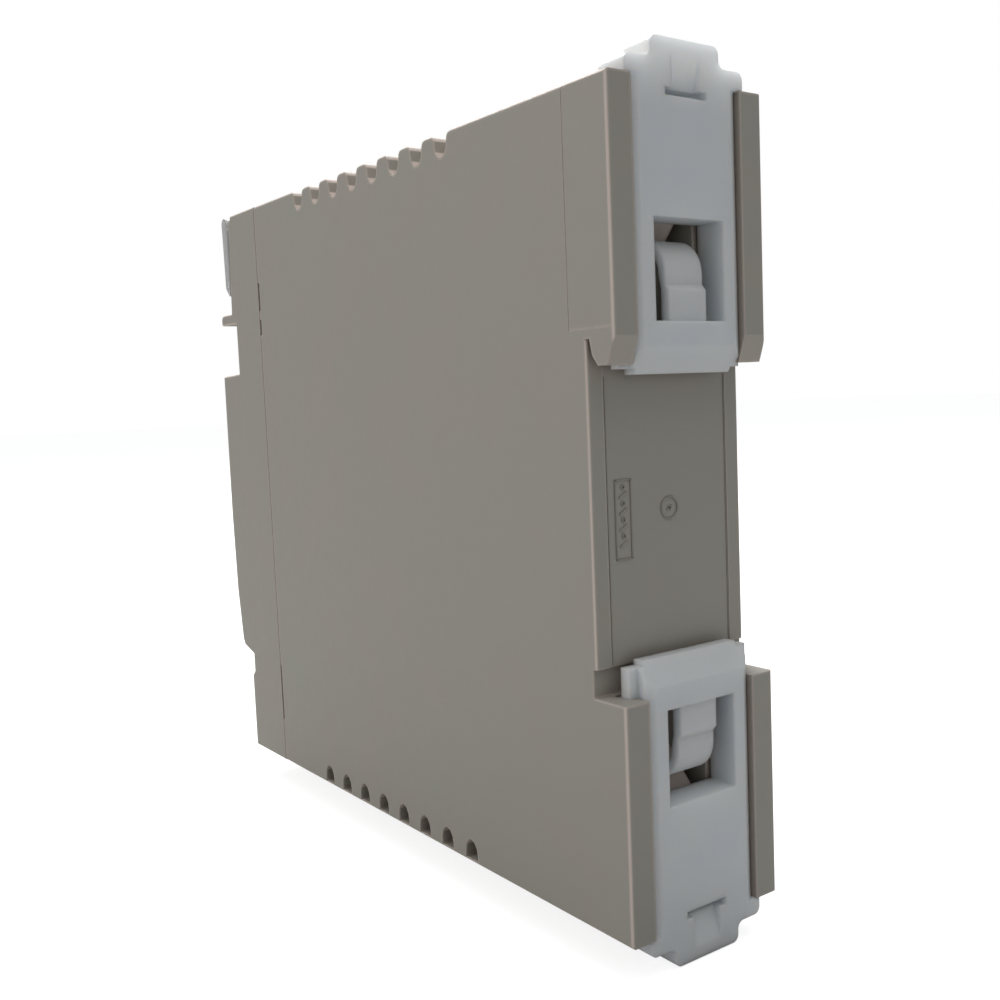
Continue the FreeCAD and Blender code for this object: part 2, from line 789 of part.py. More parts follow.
def make_selector_switch():
    """The small slide-switch bank at the case bottom: a body and its levers."""
    span = LEVER_PITCH * LEVER_COUNT
    first = SELECTOR_DEPTH - span / 2
    body = block("selector_blank", (-6.45, -1.35), (first - 0.25, first + span + 0.25), (2.6, 8.0))
    slots = []
    for number in range(LEVER_COUNT):
        middle = first + LEVER_PITCH * (number + 0.5)
        depth = (middle - 0.62, middle + 0.62)
        slots.append(block(f"selector_slot_{number + 1}", (-5.45, -2.35), depth, (2.0, 4.1)))
    finish_part("selector_switch", cut("selector_cut", body, slots))
    for number in range(LEVER_COUNT):
        middle = first + LEVER_PITCH * (number + 0.5)
        label = f"selector_lever_{number + 1}"
        lever = block(f"{label}_foot", (-5.3, -3.9), (middle - 0.52, middle + 0.52), (1.3, 4.0))
        finish_part(label, lever)


# ---------------------------------------------------------------- terminals
def make_terminals():
    """Screws, square clamp washers and contact strips of the nine terminals."""
    floor = DIMENSIONS["cell_floor"]
    for row, height in TERMINAL_ROWS.items():
        screws, washers, contacts = [], [], []
        for number, centre in enumerate(cell_centres(), start=1):
            name = f"{row}_{number}"
            screws.append(terminal_screw(name, centre, height, floor + 2.0))
            washers.append(terminal_washer(name, centre, height, floor + 1.05))
            contacts.append(terminal_contact(name, centre, height, floor))
        finish_part(f"{row}_terminal_screws", *screws)
        finish_part(f"{row}_clamp_washers", *washers)
        finish_part(f"{row}_contact_strips", *contacts)


def terminal_screw(name, centre, height, seat):
    head = rod(f"screw_head_{name}", "depth", (centre, seat, height), 2.4, 2.7)
    shank = rod(f"screw_shank_{name}", "depth", (centre, seat - 5.6, height), 5.8, 1.45)
    bar = (seat + 1.3, seat + 3)
    slot = block(f"slot_{name}", (centre - 2.0, centre + 2.0), bar, (height - 0.4, height + 0.4))
    cross = block(f"cross_{name}", (centre - 0.4, centre + 0.4), bar, (height - 2.0, height + 2.0))
    solid = fuse(f"screw_solid_{name}", [head, shank])
    return cut(f"screw_{name}", solid, [slot, cross])


def terminal_washer(name, centre, height, seat):
    square = block(
        f"washer_square_{name}", (centre - 2.8, centre + 2.8), (seat, seat + 0.9),
        (height - 2.9, height + 2.9),
    )
    hole = rod(f"washer_hole_{name}", "depth", (centre, seat - 1, height), 4, 1.6)
    return cut(f"washer_{name}", square, [hole])


def terminal_contact(name, centre, height, floor):
    plate = block(
        f"contact_plate_{name}", (centre - 2.9, centre + 2.9), (floor + 0.02, floor + 1.0),
        (height - 3.3, height + 3.3),
    )
    hole = rod(f"contact_hole_{name}", "depth", (centre, floor - 1, height), 4, 1.5)
    return cut(f"contact_{name}", plate, [hole])


# ---------------------------------------------------------------- electronics
BOARD_FACE = -6.6


def make_boards():
    """The upright main board, the front board and the two small terminal boards."""
    back = BOARD_FACE - D["board_thick"]
    main = block("main_board_rear", (back, BOARD_FACE), (12.0, 80.0), (3.2, 86.8))
    nose = block("main_board_nose", (back, BOARD_FACE), (79.0, 90.8), (20.0, 61.0))
    finish_part("main_board", fuse("main_board_solid", [main, nose]))
    finish_part("front_board", block("front_board_blank", (-9.3, 9.3), (91.0, 92.6), (20.0, 62.0)))
    rows = {"upper": (63.5, 86.0), "lower": (10.2, 16.0)}
    for row, span in rows.items():
        label = f"{row}_terminal_board"
        finish_part(label, block(f"{label}_blank", (-6.5, 8.2), (81.5, 83.1), span))
    finish_part("board_header", block("header_blank", (-6.55, -3.9), (84.0, 90.95), (32.0, 50.0)))


def make_transformer():
    """A small mains transformer: laminated core, bobbin and winding."""
    core = block("core_blank", (-3.0, 5.0), (20.0, 48.0), (48.0, 72.0))
    windows = []
    for number, span in enumerate(((24.0, 31.0), (37.0, 44.0)), start=1):
        windows.append(block(f"core_window_{number}", (-4.0, 6.0), span, (52.0, 68.0)))
    finish_part("transformer_core", cut("core_cut", core, windows))
    limb = block("bobbin_limb", (-3.05, 5.05), (30.95, 37.05), (51.0, 69.0))
    tube = block("bobbin_tube", (-3.6, 5.6), (30.4, 37.6), (52.9, 67.1))
    flanges = []
    for number, span in enumerate(((52.1, 52.95), (67.05, 67.9)), start=1):
        flanges.append(block(f"bobbin_flange_{number}", (-6.2, 8.2), (24.1, 43.9), span))
    solid = fuse("bobbin_solid", [tube, *flanges])
    finish_part("transformer_bobbin", cut("bobbin_cut", solid, [limb]))
    wire = block("winding_blank", (-5.9, 7.9), (24.5, 43.5), (53.0, 67.0))
    hole = block("winding_hole", (-3.65, 5.65), (30.35, 37.65), (50.0, 70.0))
    finish_part("transformer_winding", cut("winding_cut", wire, [hole]))


def boxed_part(label, height, depth_span, z_span, radius=0.3):
    """A block-shaped component standing on the main board."""
    face = BOARD_FACE + 0.1
    blank = block(f"{label}_blank", (face, face + height), depth_span, z_span)
    finish_part(label, soften(f"{label}_soft", blank, radius))


def make_components():
    """The parts that stand on the main board."""
    boxed_part("output_relay_upper", 12.0, (54.0, 75.0), (27.5, 43.0), 0.6)
    boxed_part("output_relay_lower", 12.0, (54.0, 69.5), (9.0, 25.5), 0.6)
    boxed_part("film_capacitor", 7.4, (52.0, 66.0), (56.0, 63.5), 0.5)
    boxed_part("bridge_rectifier", 3.0, (16.0, 24.0), (77.5, 84.0))
    boxed_part("voltage_regulator", 4.4, (20.0, 30.0), (34.0, 44.0))
    boxed_part("microcontroller", 1.4, (34.0, 44.0), (22.0, 32.0), 0.2)
    boxed_part("comparator_chip", 1.5, (24.0, 30.0), (14.0, 19.0), 0.2)
    boxed_part("optocoupler", 3.5, (46.0, 51.0), (34.0, 41.0), 0.2)
    boxed_part("crystal", 3.6, (46.0, 50.5), (20.0, 30.0), 0.5)
    face = BOARD_FACE + 0.1
    finish_part("smoothing_capacitor", rod("smooth_can", "x", (face, 58.5, 72.0), 14.0, 5.5))
    finish_part("buffer_capacitor", rod("buffer_can", "x", (face, 71.5, 74.5), 10.5, 4.0))
    finish_part("varistor", rod("varistor_disc", "depth", (-0.6, 70.5, 59.0), 3.6, 5.4))
    finish_part("fuse", rod("fuse_tube", "z", (-3.9, 77.6, 46.0), 12.0, 2.4))
    for number in range(3):
        start = (BOARD_FACE + 2.0, 49.0 - 6.0 * number, 8.0)
        finish_part(f"dropper_resistor_{number + 1}", rod(f"drop_{number}", "z", start, 9.0, 1.7))


# ---------------------------------------------------------------- checks and export
def check_document():
    """Stops if any object failed to build or any sub-part is not made of valid solids."""
    DOC.recompute()
    for thing in DOC.Objects:
        if "Invalid" in thing.State or "Error" in thing.State:
            raise RuntimeError(f"{thing.Label} failed: {thing.State}")
    for thing in SUBPARTS:
        shape = thing.Shape
        wanted = len(cell_centres()) if thing.Label.startswith(TERMINAL_SETS) else 1
        if shape.isNull() or not shape.isValid() or len(shape.Solids) != wanted:
            raise RuntimeError(f"{thing.Label} is not {wanted} valid solid(s)")


def export_parts():
    os.makedirs("parts", exist_ok=True)
    for thing in SUBPARTS:
        thing.Shape.exportStep(f"parts/{thing.Label}.step")
        box = thing.Shape.BoundBox
        size = f"{box.XLength:.1f} x {box.YLength:.1f} x {box.ZLength:.1f}"
        print(f"{thing.Label}: {len(thing.Shape.Solids)} solid(s), {size}")


make_main_case()
make_front_cover()
make_hook("upper_hook", 1)
make_hook("lower_hook", -1)
make_terminal_cover("upper_terminal_cover", UPPER_AXIS, 77.1, 11.1, 98.15)
make_terminal_cover("lower_terminal_cover", LOWER_AXIS, 12.3, 9.85, 97.05)
for place, knob_height in KNOB_HEIGHTS.items():
    make_knob(f"{place}_dial_knob", knob_height)
    make_trimmer(f"{place}_trimmer", knob_height)
for lamp, lamp_centre in LAMPS.items():
    make_lamp(lamp, lamp_centre)
make_panel_sheet()
make_selector_switch()
make_terminals()
make_boards()
make_transformer()
make_components()
check_document()
export_parts()
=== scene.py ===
"""Looks of a slim rail-mounted control module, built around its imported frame."""

import json
import math

import bmesh
import bpy
from mathutils import Matrix, Vector


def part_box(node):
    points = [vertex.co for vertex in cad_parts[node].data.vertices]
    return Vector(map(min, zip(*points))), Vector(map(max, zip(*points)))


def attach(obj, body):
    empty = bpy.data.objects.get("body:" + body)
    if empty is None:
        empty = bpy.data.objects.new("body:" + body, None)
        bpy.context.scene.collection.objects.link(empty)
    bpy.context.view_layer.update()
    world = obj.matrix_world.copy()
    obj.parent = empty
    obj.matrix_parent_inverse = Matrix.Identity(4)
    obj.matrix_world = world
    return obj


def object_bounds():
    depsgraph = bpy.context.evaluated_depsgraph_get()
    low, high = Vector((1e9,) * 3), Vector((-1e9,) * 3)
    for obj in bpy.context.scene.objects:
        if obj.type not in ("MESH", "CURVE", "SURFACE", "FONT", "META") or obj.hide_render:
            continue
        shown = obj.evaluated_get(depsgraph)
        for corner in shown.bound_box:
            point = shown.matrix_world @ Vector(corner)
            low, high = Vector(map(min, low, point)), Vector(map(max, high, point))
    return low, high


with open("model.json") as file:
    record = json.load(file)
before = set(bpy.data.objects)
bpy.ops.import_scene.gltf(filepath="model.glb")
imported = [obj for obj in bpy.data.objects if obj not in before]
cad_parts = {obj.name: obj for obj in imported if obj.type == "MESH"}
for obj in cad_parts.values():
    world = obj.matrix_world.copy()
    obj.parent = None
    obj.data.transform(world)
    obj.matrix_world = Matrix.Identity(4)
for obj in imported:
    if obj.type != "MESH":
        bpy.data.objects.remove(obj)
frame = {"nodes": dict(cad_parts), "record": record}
CAD_LOW, CAD_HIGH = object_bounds()
MM = 0.001
NODES = frame["nodes"]
SLOT_OF = {part["node"]: part["material_slot"] for part in frame["record"]["subparts"]}


# ---------------------------------------------------------------- camera, light and floor
CAMERA_PLACE = (86.6 * MM, 89.4 * MM, 11.9 * MM)
CAMERA_AZIMUTH = 144.5
CAMERA_ELEVATION = 5.2
CAMERA_ROLL = -2.39
CAMERA_LENS = 40.49
WORLD_LIGHT = 0.305
WORLD_SEEN = 1.0
# name, azimuth, elevation, distance, size, power and colour
SOFTBOXES = (
    ("key_box", 60, 25, 1.1, 0.9, 2.6, (1.0, 0.985, 0.955)),
    ("top_box", 150, 75, 1.0, 1.0, 2.6, (0.98, 0.99, 1.0)),
    ("back_box", -25, 50, 1.0, 0.7, 9.0, (1.0, 1.0, 1.0)),
)


def link(thing):
    bpy.context.scene.collection.objects.link(thing)
    return thing


def direction(azimuth, elevation):
    """The way from the object to a viewer at these angles; azimuth 0 is in front, at -Y."""
    a, e = math.radians(azimuth), math.radians(elevation)
    return Vector((math.sin(a) * math.cos(e), -math.cos(a) * math.cos(e), math.sin(e)))


def make_camera():
    data = bpy.data.cameras.new("camera")
    data.lens = CAMERA_LENS
    data.sensor_width = 36.0
    data.clip_start = 0.005
    data.clip_end = 20.0
    camera = link(bpy.data.objects.new("camera", data))
    back = direction(CAMERA_AZIMUTH, CAMERA_ELEVATION)
    look = (-back).to_track_quat("-Z", "Y").to_matrix().to_4x4()
    roll = Matrix.Rotation(math.radians(CAMERA_ROLL), 4, "Z")
    camera.matrix_world = Matrix.Translation(CAMERA_PLACE) @ look @ roll
    bpy.context.scene.camera = camera


def make_world(lighting, seen):
    """Even surroundings that light the object less than the camera sees them."""
    world = bpy.data.worlds.new("surroundings")
    bpy.context.scene.world = world
    world.use_nodes = True
    tree = world.node_tree
    tree.nodes.clear()
    path = tree.nodes.new("ShaderNodeLightPath")
    light = tree.nodes.new("ShaderNodeBackground")
    light.inputs["Color"].default_value = (0.97, 0.985, 1.0, 1)
    light.inputs["Strength"].default_value = lighting
    shown = tree.nodes.new("ShaderNodeBackground")
    shown.inputs["Color"].default_value = (1, 1, 1, 1)
    shown.inputs["Strength"].default_value = seen
    mix = tree.nodes.new("ShaderNodeMixShader")
    out = tree.nodes.new("ShaderNodeOutputWorld")
    tree.links.new(path.outputs["Is Camera Ray"], mix.inputs[0])
    tree.links.new(light.outputs[0], mix.inputs[1])
    tree.links.new(shown.outputs[0], mix.inputs[2])
    tree.links.new(mix.outputs[0], out.inputs[0])


def make_softbox(name, azimuth, elevation, distance, size, power, colour):
    data = bpy.data.lights.new(name, "AREA")
    data.shape = "DISK"
    data.size = size
    data.energy = power
    data.color = colour
    lamp = link(bpy.data.objects.new(name, data))
    way = direction(azimuth, elevation)
    lamp.location = way * distance
    lamp.rotation_mode = "QUATERNION"
    lamp.rotation_quaternion = (-way).to_track_quat("-Z", "Y")


def make_floor():
    mesh = bpy.data.meshes.new("floor")
    half = 4.0
    low = CAD_LOW.z - 0.2 * MM
    corners = [(-half, -half, low), (half, -half, low), (half, half, low), (-half, half, low)]
    mesh.from_pydata(corners, [], [(0, 1, 2, 3)])
    floor = link(bpy.data.objects.new("floor", mesh))
    paint = Paint("floor_paper", (0.46, 0.46, 0.46), roughness=(0.75, 0.85), shader_edges=0)
    paint.vary((0.47, 0.47, 0.468), 60.0)
    mesh.materials.append(paint.finish())
    lift_for_viewer(paint, 0.83)


def lift_for_viewer(paint, strength):
    """Makes the floor pale where it is looked at, without lighting the object with it."""
    path = paint.node("ShaderNodeLightPath")
    glow = paint.node("ShaderNodeEmission", Strength=strength)
    both = paint.node("ShaderNodeAddShader")
    mix = paint.node("ShaderNodeMixShader")
    plain = paint.shader.outputs[0]
    paint.wire(plain, both.inputs[0])
    paint.wire(glow.outputs[0], both.inputs[1])
    paint.wire(path.outputs["Is Camera Ray"], mix.inputs[0])
    paint.wire(plain, mix.inputs[1])
    paint.wire(both.outputs[0], mix.inputs[2])
    paint.wire(mix.outputs[0], paint.tree.nodes["Material Output"].inputs["Surface"])


# ---------------------------------------------------------------- materials
class Paint:
    """A procedural material: a base colour, layers over it, roughness and bump."""

    def __init__(self, name, colour, roughness=(0.45, 0.55), metallic=0.0, shader_edges=0.25):
        self.material = bpy.data.materials.new(name)
        self.material.use_nodes = True
        self.tree = self.material.node_tree
        self.shader = self.tree.nodes["Principled BSDF"]
        self.shader.inputs["Metallic"].default_value = metallic
        self.place = self.node("ShaderNodeTexCoord").outputs["Object"]
        self.colour = None
        self.base = (*colour, 1)
        self.normal = None
        self.roughness = roughness
        self.edges = None
        if shader_edges:
            self.soften_edges(shader_edges)

    def node(self, kind, **settings):
        node = self.tree.nodes.new(kind)
        for key, value in settings.items():
            if hasattr(node, key):
                setattr(node, key, value)
            else:
                node.inputs[key.replace("_", " ")].default_value = value
        return node

    def wire(self, output, socket):
        self.tree.links.new(output, socket)

    def soften_edges(self, radius_mm):
        """Rounds the shading of sharp edges, and keeps a mask of where they are."""
        bevel = self.node("ShaderNodeBevel", samples=4, Radius=radius_mm * MM)
        flat = self.node("ShaderNodeNewGeometry").outputs["Normal"]
        same = self.node("ShaderNodeVectorMath", operation="DOT_PRODUCT")
        self.wire(bevel.outputs[0], same.inputs[0])
        self.wire(flat, same.inputs[1])
        mask = self.node("ShaderNodeMapRange", From_Min=0.998, From_Max=0.86)
        self.wire(same.outputs["Value"], mask.inputs["Value"])
        self.edges = mask.outputs["Result"]
        self.normal = bevel.outputs[0]

    def add_rounded_edges(self):
        """Adds to the edge mask, which places the painted edge highlight, where a rounded edge turns
        between two square faces.
        """
        parts = self.node("ShaderNodeSeparateXYZ")
        turned = self.node("ShaderNodeVectorMath", operation="ABSOLUTE")
        self.wire(self.node("ShaderNodeTexCoord").outputs["Normal"], turned.inputs[0])
        self.wire(turned.outputs[0], parts.inputs[0])
        largest = parts.outputs[0]
        for axis in (1, 2):
            larger = self.node("ShaderNodeMath", operation="MAXIMUM")
            self.wire(largest, larger.inputs[0])
            self.wire(parts.outputs[axis], larger.inputs[1])
            largest = larger.outputs[0]
        turn = self.ramp(largest, 0.985, 0.80)
        either = self.node("ShaderNodeMath", operation="MAXIMUM")
        self.wire(turn, either.inputs[0])
        self.wire(self.edges, either.inputs[1])
        self.edges = either.outputs[0]

    def noise(self, size_mm, detail=3.0, stretch=None):
        """A noise pattern with features of about this size."""
        source = self.place
        if stretch:
            mapping = self.node("ShaderNodeMapping")
            mapping.inputs["Scale"].default_value = stretch
            self.wire(source, mapping.inputs["Vector"])
            source = mapping.outputs[0]
        noise = self.node("ShaderNodeTexNoise", Scale=1 / (size_mm * MM), Detail=detail)
        self.wire(source, noise.inputs["Vector"])
        return noise.outputs["Fac"]

    def ramp(self, factor, low=0.35, high=0.65, least=0.0, most=1.0):
        span = self.node("ShaderNodeMapRange", From_Min=low, From_Max=high, To_Min=least, To_Max=most)
        self.wire(factor, span.inputs["Value"])
        return span.outputs["Result"]

    def cover(self, colour, mask):
        """Lays another colour over what is there, where the mask says."""
        mix = self.node("ShaderNodeMix", data_type="RGBA")
        if self.colour is None:
            mix.inputs[6].default_value = self.base
        else:
            self.wire(self.colour, mix.inputs[6])
        mix.inputs[7].default_value = (*colour, 1)
        self.wire(mask, mix.inputs[0])
        self.colour = mix.outputs[2]

    def vary(self, colour, size_mm, least=0.0, most=1.0, detail=2.0, stretch=None):
        self.cover(colour, self.ramp(self.noise(size_mm, detail, stretch), 0.35, 0.65, least, most))

    def speckle(self, colour, size_mm, share):
        self.cover(colour, self.ramp(self.noise(size_mm, 2.0), 0.5, 0.72, 0.0, share))

    # Paints the masked edges a paler colour: a painted highlight on the plastic and lamp parts, the glass
    # ground's own colour on the board.
    def light_edges(self, colour, amount=1.0):
        self.cover(colour, self.ramp(self.edges, 0.0, 1.0, 0.0, amount))

    def dark_hollows(self, colour, reach_mm, amount):
        """Painted shade: a warmer, darker tone where the surface is shut in."""
        open_sky = self.node("ShaderNodeAmbientOcclusion", samples=6, Distance=reach_mm * MM)
        self.cover(colour, self.ramp(open_sky.outputs["AO"], 0.75, 0.2, 0.0, amount))

    def grain(self, size_mm, height_mm, strength=0.5, stretch=None, detail=2.0):
        bump = self.node("ShaderNodeBump", Strength=strength, Distance=height_mm * MM)
        self.wire(self.noise(size_mm, detail, stretch), bump.inputs["Height"])
        if self.normal is not None:
            self.wire(self.normal, bump.inputs["Normal"])
        self.normal = bump.outputs[0]

    def set(self, **values):
        for key, value in values.items():
            self.shader.inputs[key.replace("_", " ")].default_value = value

    def finish(self, rough_size_mm=1.5):
        if self.colour is None:
            self.shader.inputs["Base Color"].default_value = self.base
        else:
            self.wire(self.colour, self.shader.inputs["Base Color"])
        rough = self.ramp(self.noise(rough_size_mm), 0.3, 0.7, *self.roughness)
        self.wire(rough, self.shader.inputs["Roughness"])
        if self.normal is not None:
            self.wire(self.normal, self.shader.inputs["Normal"])
        return self.material


def case_plastic(name="case_plastic", hollow_shade=0.75, edge_highlight=0.9):
    """Warm grey moulded case: fine spark grain, cloudy tone, a pinkish painted highlight on the edges,
    painted warm brown shade in the slots and hollows.
    """
    paint = Paint(name, (0.405, 0.382, 0.334), roughness=(0.5, 0.62), shader_edges=0.42)
    paint.add_rounded_edges()
    paint.vary((0.418, 0.378, 0.338), 16.0, 0.0, 0.75)
    paint.vary((0.388, 0.383, 0.334), 9.0, 0.0, 0.6)
    paint.speckle((0.37, 0.353, 0.322), 0.2, 0.3)
    # Painted highlight: the edges are painted a pale pinkish beige.
    paint.light_edges((0.86, 0.735, 0.655), edge_highlight)
    if hollow_shade:
        # Painted shade: slots and hollows are painted a darker warm brown where they are shut in.
        paint.dark_hollows((0.26, 0.19, 0.155), 2.4, hollow_shade)
    paint.grain(0.16, 0.012)
    paint.grain(4.0, 0.02, 0.25)
    paint.set(Specular_IOR_Level=0.4)
    return paint.finish()


def hook_nylon():
    """Milky nylon that lets some light through, with painted light making it paler where its thin end
    stands above the case, and a painted edge highlight.
    """
    paint = Paint("hook_nylon", (0.72, 0.752, 0.785), roughness=(0.34, 0.46), shader_edges=0.5)
    paint.add_rounded_edges()
    paint.vary((0.75, 0.775, 0.785), 8.0)
    paint.speckle((0.67, 0.71, 0.73), 0.3, 0.25)
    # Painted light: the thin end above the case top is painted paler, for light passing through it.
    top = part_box("main_case")[1].z
    height = paint.node("ShaderNodeSeparateXYZ")
    paint.wire(paint.place, height.inputs[0])
    painted_light_top = paint.ramp(height.outputs["Z"], top - 3 * MM, top + 3 * MM, 0.0, 0.9)
    paint.cover((0.96, 0.945, 0.92), painted_light_top)
    # Painted highlight: the edges are painted paler.
    paint.light_edges((0.84, 0.865, 0.87), 0.45)
    paint.grain(0.35, 0.006, 0.4)
    paint.grain(3.0, 0.03, 0.3)
    paint.set(Subsurface_Weight=0.85, Subsurface_Scale=0.003)
    paint.set(Subsurface_Radius=(0.9, 1.0, 1.1))
    return paint.finish()


def clear_plastic():
    """Clear lids with a faint green-grey cast and moulding haze."""
    paint = Paint("clear_plastic", (0.895, 0.90, 0.895), roughness=(0.12, 0.24), shader_edges=0.2)
    paint.vary((0.84, 0.85, 0.845), 6.0)
    # Painted highlight: the edges are painted paler.
    paint.light_edges((0.95, 0.97, 0.96), 0.6)
    paint.grain(2.5, 0.02, 0.3)
    paint.set(Transmission_Weight=0.5, IOR=1.49)
    return paint.finish()


def moulded(name, colour, second, roughness=(0.4, 0.52), grain_mm=0.15, edge_highlight_colour=None, hollow_shade_colour=None):
    """Any other moulded plastic: two close tones, a painted highlight on the edges, painted shade in the
    hollows and a fine grain.
    """
    paint = Paint(name, colour, roughness=roughness)
    paint.vary(second, 2.5)
    paint.speckle(tuple(c * 0.85 for c in colour), 0.2, 0.4)
    # Painted highlight: the edges get a lighter copy of the colour.
    paint.light_edges(edge_highlight_colour or tuple(min(1.0, c * 1.35 + 0.02) for c in colour), 0.6)
    # Painted shade: the hollows get a darker copy of the colour.
    paint.dark_hollows(hollow_shade_colour or tuple(c * 0.55 for c in colour), 1.2, 0.6)
    paint.grain(grain_mm, 0.008)
    return paint.finish()


def metal(name, colour, second, roughness=(0.2, 0.35), stretch=(1, 1, 1), grain_mm=0.12):
    """Plated or brushed metal with drawn scratches, dull patches and edges painted brighter."""
    paint = Paint(name, colour, roughness=roughness, metallic=1.0, shader_edges=0.15)
    paint.vary(second, 1.2, 0.0, 0.9, 4.0, stretch)
    paint.speckle(tuple(c * 0.6 for c in colour), 0.35, 0.35)
    # The edges are painted a brighter copy of the metal's colour.
    paint.light_edges(tuple(min(1.0, c * 1.25) for c in colour), 0.7)
    paint.grain(grain_mm, 0.006, 0.5, stretch)
    return paint.finish(0.6)


def board_laminate():
    """Green solder mask over copper runs, with a woven glass ground showing at the edges."""
    paint = Paint("board_laminate", (0.025, 0.17, 0.075), roughness=(0.25, 0.4), shader_edges=0.1)
    runs = paint.node("ShaderNodeTexBrick", Scale=120.0, Mortar_Size=0.07, Mortar_Smooth=0.3)
    turn = paint.node("ShaderNodeMapping")
    turn.inputs["Rotation"].default_value = (0, math.pi / 2, 0)
    paint.wire(paint.place, turn.inputs["Vector"])
    paint.wire(turn.outputs[0], runs.inputs["Vector"])
    paint.cover((0.06, 0.30, 0.12), paint.ramp(runs.outputs["Fac"], 0.2, 0.8))
    paint.vary((0.02, 0.14, 0.06), 4.0, 0.0, 0.6)
    paint.light_edges((0.55, 0.50, 0.25), 0.8)
    paint.grain(0.4, 0.01, 0.4)
    return paint.finish()


def panel_print():
    """Printed film: dark grey satin with a fine texture."""
    paint = Paint("panel_print", (0.085, 0.09, 0.095), roughness=(0.38, 0.48), shader_edges=0.1)
    paint.vary((0.10, 0.10, 0.105), 5.0)
    paint.speckle((0.14, 0.14, 0.145), 0.12, 0.4)
    paint.grain(0.1, 0.006)
    return paint.finish()


def print_ink():
    """Pale ink of scales and marks."""
    paint = Paint("print_ink", (0.80, 0.80, 0.77), roughness=(0.5, 0.6), shader_edges=0)
    paint.vary((0.72, 0.72, 0.70), 0.5)
    paint.grain(0.08, 0.003)
    return paint.finish()


def label_ink():
    """Grey ink of the rules and boxes on the label."""
    paint = Paint("label_ink", (0.12, 0.12, 0.125), roughness=(0.5, 0.6), shader_edges=0)
    paint.vary((0.17, 0.17, 0.17), 0.6)
    paint.grain(0.08, 0.003)
    return paint.finish()


def label_film():
    """Satin label film with a faint fibre and yellowing."""
    paint = Paint("label_film", (0.74, 0.74, 0.71), roughness=(0.35, 0.45), shader_edges=0.1)
    paint.vary((0.70, 0.69, 0.655), 14.0)
    paint.speckle((0.62, 0.62, 0.6), 0.15, 0.25)
    paint.grain(0.25, 0.005)
    return paint.finish()


def lamp_lens(name, colour, deep):
    """A frosted light pipe: its colour is deeper in small patches, with a painted highlight at the rim."""
    paint = Paint(name, colour, roughness=(0.22, 0.34), shader_edges=0.3)
    paint.vary(deep, 0.9, 0.0, 0.7)
    # Painted highlight: the rim is painted a lighter copy of the colour.
    paint.light_edges(tuple(min(1.0, c * 1.3 + 0.05) for c in colour), 0.7)
    paint.grain(0.2, 0.004)
    paint.set(Transmission_Weight=0.35, Subsurface_Weight=0.3, Subsurface_Scale=0.001)
    return paint.finish()


def winding_tape():
    """Overlapping turns of amber tape."""
    paint = Paint("winding_tape", (0.62, 0.42, 0.06), roughness=(0.18, 0.3), shader_edges=0.25)
    turns = paint.node("ShaderNodeTexWave", bands_direction="Z", Scale=260.0, Distortion=0.6)
    paint.wire(paint.place, turns.inputs["Vector"])
    paint.cover((0.45, 0.27, 0.03), paint.ramp(turns.outputs["Fac"], 0.3, 0.7, 0, 0.7))
    paint.vary((0.68, 0.50, 0.12), 3.0, 0.0, 0.6)
    paint.grain(0.5, 0.02, 0.5)
    return paint.finish()


def core_steel():
    """Stacked laminations with a thin brown varnish."""
    paint = Paint("core_steel", (0.30, 0.29, 0.28), roughness=(0.35, 0.5), metallic=0.85)
    sheets = paint.node("ShaderNodeTexWave", bands_direction="X", Scale=320.0, Distortion=0.3)
    paint.wire(paint.place, sheets.inputs["Vector"])
    paint.cover((0.10, 0.09, 0.08), paint.ramp(sheets.outputs["Fac"], 0.45, 0.8, 0, 0.8))
    paint.vary((0.34, 0.25, 0.16), 3.0, 0.0, 0.5)
    paint.grain(0.3, 0.02, 0.5, (1, 0.1, 0.1))
    return paint.finish()


def fuse_glass():
    """Clear tube with a grey smear inside."""
    paint = Paint("fuse_glass", (0.86, 0.9, 0.9), roughness=(0.05, 0.12), shader_edges=0.2)
    paint.vary((0.7, 0.74, 0.74), 2.0)
    paint.grain(1.5, 0.01, 0.3)
    paint.set(Transmission_Weight=0.7, IOR=1.5)
    return paint.finish()


LAMP_COLOURS = {
    "power_lamp": ((0.16, 0.62, 0.20), (0.05, 0.36, 0.09)),
    "relay_lamp": ((0.85, 0.50, 0.05), (0.62, 0.28, 0.02)),
    "alarm_lamp": ((0.72, 0.07, 0.04), (0.42, 0.02, 0.02)),
}


